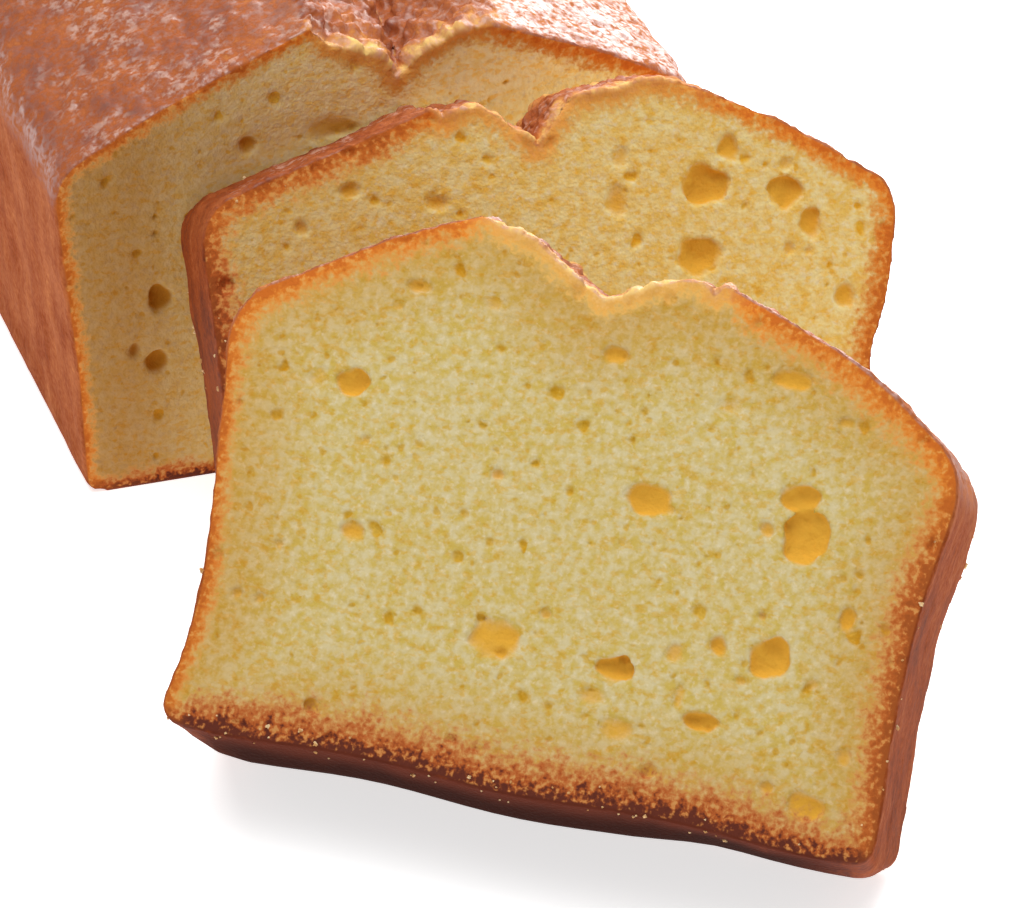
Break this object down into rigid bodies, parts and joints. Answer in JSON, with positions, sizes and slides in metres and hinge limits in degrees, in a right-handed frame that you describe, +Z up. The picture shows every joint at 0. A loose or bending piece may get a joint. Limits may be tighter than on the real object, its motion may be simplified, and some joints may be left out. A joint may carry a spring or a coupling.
{
  "type": "sliced loaf cake",
  "caption": "Plain butter loaf cake with a split domed crust, cut across, and slices from it that lean in a row on its cut face.",
  "frame": {"origin": "middle of the loaf's flat base", "axes": "+Z up, +Y along the loaf from its cut face to its far end, +X to the right as seen from in front of the cut face"},
  "size_m": [0.1004, 0.2291, 0.063],
  "materials": {
    "baked_crust": "golden-brown baked crust, satin, with pale crumb on the cut face",
    "golden_crumb": "pale yellow open crumb with a browned skin at the edge, matte"
  },
  "bodies": {
    "root": {"loaf": "baked_crust", "middle_slice": "golden_crumb", "front_slice": "golden_crumb"}
  },
  "joints": []
}
